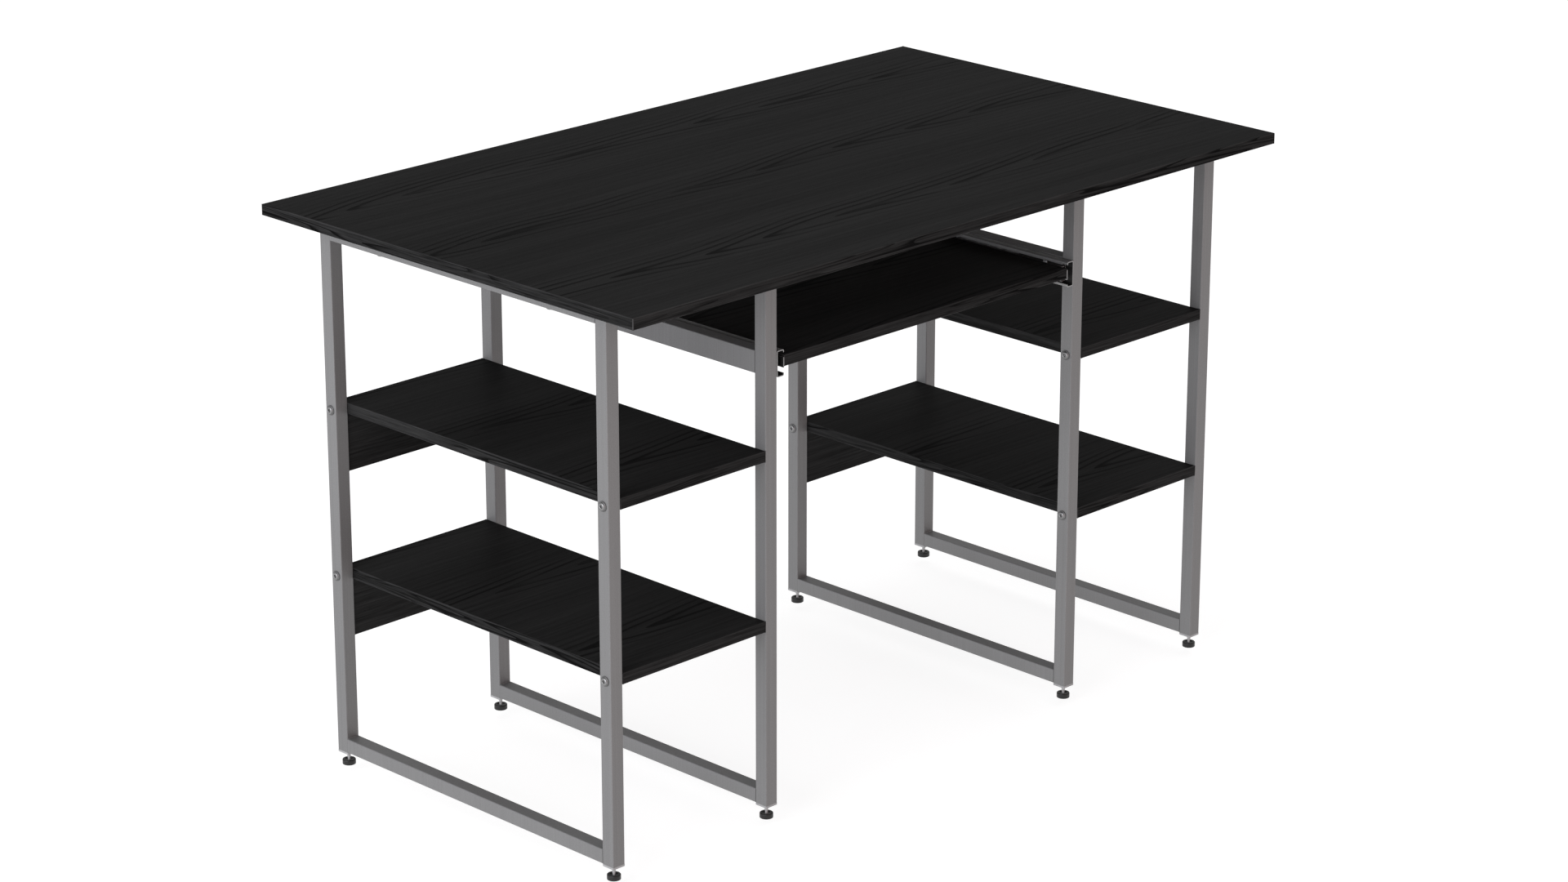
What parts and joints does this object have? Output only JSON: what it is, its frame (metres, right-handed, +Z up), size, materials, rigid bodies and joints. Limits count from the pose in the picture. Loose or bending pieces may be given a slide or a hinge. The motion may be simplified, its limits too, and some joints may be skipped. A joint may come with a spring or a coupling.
{
  "type": "computer desk",
  "caption": "Computer desk: laminated top on square-tube leg frames, two open shelf pedestals and a keyboard tray on ball-bearing telescopic slides.",
  "frame": {"origin": "on the floor, under the middle of the tabletop", "axes": "+X to the sitter's right along the tabletop's width, -Y towards the sitter, +Z up"},
  "size_m": [1.2, 0.7, 0.7665],
  "materials": {
    "black_woodgrain": "black woodgrain laminate, satin",
    "silver_paint": "silver-grey powder coat, fine speckle",
    "cap_plastic": "light grey moulded plastic",
    "pad_plastic": "black moulded plastic",
    "foot_steel": "zinc-plated thread",
    "slide_steel": "zinc-plated sheet steel",
    "screw_steel": "silver-grey plated",
    "beech": "plain beech"
  },
  "bodies": {
    "root": {"tabletop": "black_woodgrain", "left_lower_shelf": "black_woodgrain", "left_lower_back_panel": "black_woodgrain", "left_upper_shelf": "black_woodgrain", "left_upper_back_panel": "black_woodgrain", "right_lower_shelf": "black_woodgrain", "right_lower_back_panel": "black_woodgrain", "right_upper_shelf": "black_woodgrain", "right_upper_back_panel": "black_woodgrain", "left_outer_front_post": "silver_paint", "left_outer_rear_post": "silver_paint", "left_outer_top_rail": "silver_paint", "left_outer_bottom_rail": "silver_paint", "left_inner_front_post": "silver_paint", "left_inner_rear_post": "silver_paint", "left_inner_top_rail": "silver_paint", "left_inner_bottom_rail": "silver_paint", "right_inner_front_post": "silver_paint", "right_inner_rear_post": "silver_paint", "right_inner_top_rail": "silver_paint", "right_inner_bottom_rail": "silver_paint", "right_outer_front_post": "silver_paint", "right_outer_rear_post": "silver_paint", "right_outer_top_rail": "silver_paint", "right_outer_bottom_rail": "silver_paint", "left_tray_rail": "silver_paint", "left_slide_outer": "slide_steel", "right_tray_rail": "silver_paint", "right_slide_outer": "slide_steel", "post_end_caps": "cap_plastic", "shelf_screws": "screw_steel", "tabletop_screws": "screw_steel", "slide_screws": "screw_steel", "panel_dowels": "beech"},
    "keyboard_tray": {"keyboard_tray": "black_woodgrain", "left_slide_inner": "slide_steel", "right_slide_inner": "slide_steel", "tray_screws": "screw_steel"},
    "left_outer_front_foot": {"left_outer_front_foot_stem": "foot_steel", "left_outer_front_foot_pad": "pad_plastic"},
    "left_outer_rear_foot": {"left_outer_rear_foot_stem": "foot_steel", "left_outer_rear_foot_pad": "pad_plastic"},
    "left_inner_front_foot": {"left_inner_front_foot_stem": "foot_steel", "left_inner_front_foot_pad": "pad_plastic"},
    "left_inner_rear_foot": {"left_inner_rear_foot_stem": "foot_steel", "left_inner_rear_foot_pad": "pad_plastic"},
    "right_inner_front_foot": {"right_inner_front_foot_stem": "foot_steel", "right_inner_front_foot_pad": "pad_plastic"},
    "right_inner_rear_foot": {"right_inner_rear_foot_stem": "foot_steel", "right_inner_rear_foot_pad": "pad_plastic"},
    "right_outer_front_foot": {"right_outer_front_foot_stem": "foot_steel", "right_outer_front_foot_pad": "pad_plastic"},
    "right_outer_rear_foot": {"right_outer_rear_foot_stem": "foot_steel", "right_outer_rear_foot_pad": "pad_plastic"},
    "left_slide_middle": {"left_slide_middle": "slide_steel"},
    "left_outer_ball_cage": {"left_outer_ball_cage": "slide_steel"},
    "left_inner_ball_cage": {"left_inner_ball_cage": "slide_steel"},
    "right_slide_middle": {"right_slide_middle": "slide_steel"},
    "right_outer_ball_cage": {"right_outer_ball_cage": "slide_steel"},
    "right_inner_ball_cage": {"right_inner_ball_cage": "slide_steel"}
  },
  "joints": [
    {"name": "tray_slide", "type": "slide", "parent": "root", "child": "keyboard_tray", "axis": [0, -1, 0], "range_m": [0, 0.35]},
    {"name": "left_outer_ball_cage_slide", "type": "slide", "parent": "root", "child": "left_outer_ball_cage", "axis": [0, -1, 0], "range_m": [0, 0.0875]},
    {"name": "left_slide_middle_slide", "type": "slide", "parent": "root", "child": "left_slide_middle", "axis": [0, -1, 0], "range_m": [0, 0.175]},
    {"name": "left_inner_ball_cage_slide", "type": "slide", "parent": "root", "child": "left_inner_ball_cage", "axis": [0, -1, 0], "range_m": [0, 0.2625]},
    {"name": "right_outer_ball_cage_slide", "type": "slide", "parent": "root", "child": "right_outer_ball_cage", "axis": [0, -1, 0], "range_m": [0, 0.0875]},
    {"name": "right_slide_middle_slide", "type": "slide", "parent": "root", "child": "right_slide_middle", "axis": [0, -1, 0], "range_m": [0, 0.175]},
    {"name": "right_inner_ball_cage_slide", "type": "slide", "parent": "root", "child": "right_inner_ball_cage", "axis": [0, -1, 0], "range_m": [0, 0.2625]},
    {"name": "left_outer_front_foot_height", "type": "slide", "parent": "root", "child": "left_outer_front_foot", "axis": [0, 0, 1], "range_m": [-0.01, 0.01]},
    {"name": "left_outer_rear_foot_height", "type": "slide", "parent": "root", "child": "left_outer_rear_foot", "axis": [0, 0, 1], "range_m": [-0.01, 0.01]},
    {"name": "left_inner_front_foot_height", "type": "slide", "parent": "root", "child": "left_inner_front_foot", "axis": [0, 0, 1], "range_m": [-0.01, 0.01]},
    {"name": "left_inner_rear_foot_height", "type": "slide", "parent": "root", "child": "left_inner_rear_foot", "axis": [0, 0, 1], "range_m": [-0.01, 0.01]},
    {"name": "right_inner_front_foot_height", "type": "slide", "parent": "root", "child": "right_inner_front_foot", "axis": [0, 0, 1], "range_m": [-0.01, 0.01]},
    {"name": "right_inner_rear_foot_height", "type": "slide", "parent": "root", "child": "right_inner_rear_foot", "axis": [0, 0, 1], "range_m": [-0.01, 0.01]},
    {"name": "right_outer_front_foot_height", "type": "slide", "parent": "root", "child": "right_outer_front_foot", "axis": [0, 0, 1], "range_m": [-0.01, 0.01]},
    {"name": "right_outer_rear_foot_height", "type": "slide", "parent": "root", "child": "right_outer_rear_foot", "axis": [0, 0, 1], "range_m": [-0.01, 0.01]}
  ],
  "couplings": [
    {"joint": "left_outer_ball_cage_slide", "follows": "tray_slide", "ratio": 0.25},
    {"joint": "left_slide_middle_slide", "follows": "tray_slide", "ratio": 0.5},
    {"joint": "left_inner_ball_cage_slide", "follows": "tray_slide", "ratio": 0.75},
    {"joint": "right_outer_ball_cage_slide", "follows": "tray_slide", "ratio": 0.25},
    {"joint": "right_slide_middle_slide", "follows": "tray_slide", "ratio": 0.5},
    {"joint": "right_inner_ball_cage_slide", "follows": "tray_slide", "ratio": 0.75}
  ]
}
